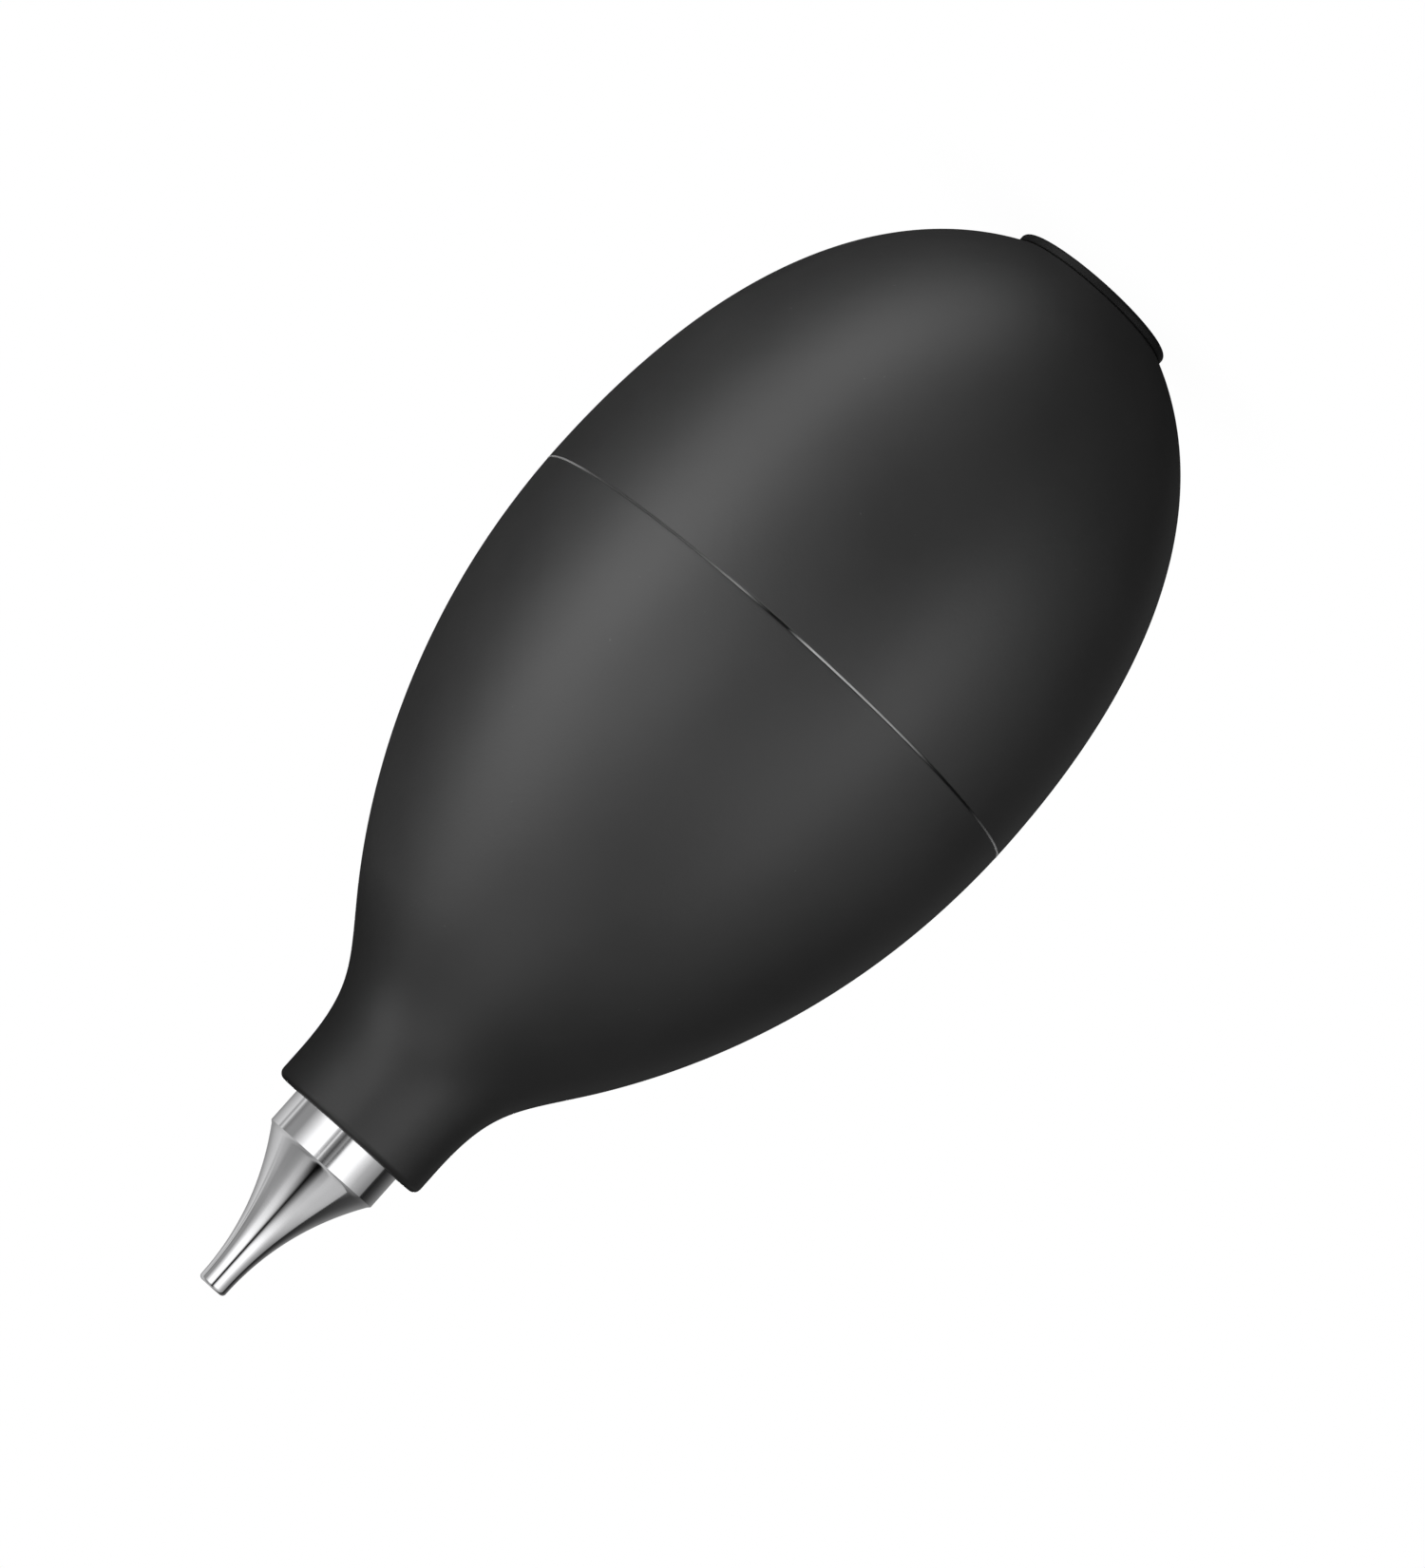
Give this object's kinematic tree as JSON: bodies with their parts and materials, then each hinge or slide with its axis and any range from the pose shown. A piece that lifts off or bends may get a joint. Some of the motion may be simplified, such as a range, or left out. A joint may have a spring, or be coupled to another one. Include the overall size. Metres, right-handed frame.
{
  "type": "dust blower bulb",
  "caption": "Hand-squeezed rubber blower bulb with a turned metal nozzle and one-way air valves, for blowing dust off small mechanisms.",
  "frame": {"origin": "centre of the flat outer face of the intake disc at the rear, on which the blower stands", "axes": "+Z along the axis towards the nozzle's tip; -Y is the side that the thumb presses; +X completes the right-handed frame"},
  "size_m": [0.043, 0.043, 0.0952],
  "materials": {
    "bulb_rubber": "fine matte moulded rubber",
    "plug_plastic": "matte black moulded plastic",
    "filter_steel": "fine perforated stainless steel",
    "bush_brass": "turned brass",
    "keeper_brass": "stamped brass",
    "ball_steel": "polished steel",
    "spring_steel": "drawn spring wire",
    "nozzle_chrome": "polished plated metal, faint turning marks",
    "seal_rubber": "black rubber"
  },
  "bodies": {
    "bulb": {"bulb_rear_half": "bulb_rubber", "bulb_front_half": "bulb_rubber", "valve_plug": "plug_plastic", "intake_filter": "filter_steel", "filter_ring": "filter_steel", "neck_bush": "bush_brass", "intake_spring": "spring_steel", "intake_keeper": "keeper_brass", "outlet_spring": "spring_steel", "outlet_keeper": "keeper_brass"},
    "thumb_patch": {"thumb_panel": "bulb_rubber"},
    "intake_valve": {"intake_ball": "ball_steel"},
    "outlet_valve": {"outlet_ball": "ball_steel"},
    "seal": {"nozzle_seal": "seal_rubber"},
    "nozzle": {"nozzle": "nozzle_chrome"}
  },
  "joints": [
    {"name": "bulb_squeeze", "type": "slide", "parent": "bulb", "child": "thumb_patch", "axis": [0, 1, 0], "range_m": [0, 0.008], "stiffness_N_per_m": 1200},
    {"name": "intake_lift", "type": "slide", "parent": "bulb", "child": "intake_valve", "axis": [0, 0, 1], "range_m": [0, 0.001], "stiffness_N_per_m": 40, "springref_m": -0.0005, "deforming": ["intake_spring"]},
    {"name": "outlet_lift", "type": "slide", "parent": "bulb", "child": "outlet_valve", "axis": [0, 0, 1], "range_m": [0, 0.001], "stiffness_N_per_m": 40, "springref_m": -0.0005, "deforming": ["outlet_spring"]},
    {"name": "nozzle_pull", "type": "slide", "parent": "bulb", "child": "seal", "axis": [0, 0, 1], "range_m": [0, 0.005]},
    {"name": "nozzle_turn", "type": "hinge", "parent": "seal", "child": "nozzle", "pos_m": [0, 0, 0.076], "axis": [0, 0, 1], "continuous": true}
  ]
}
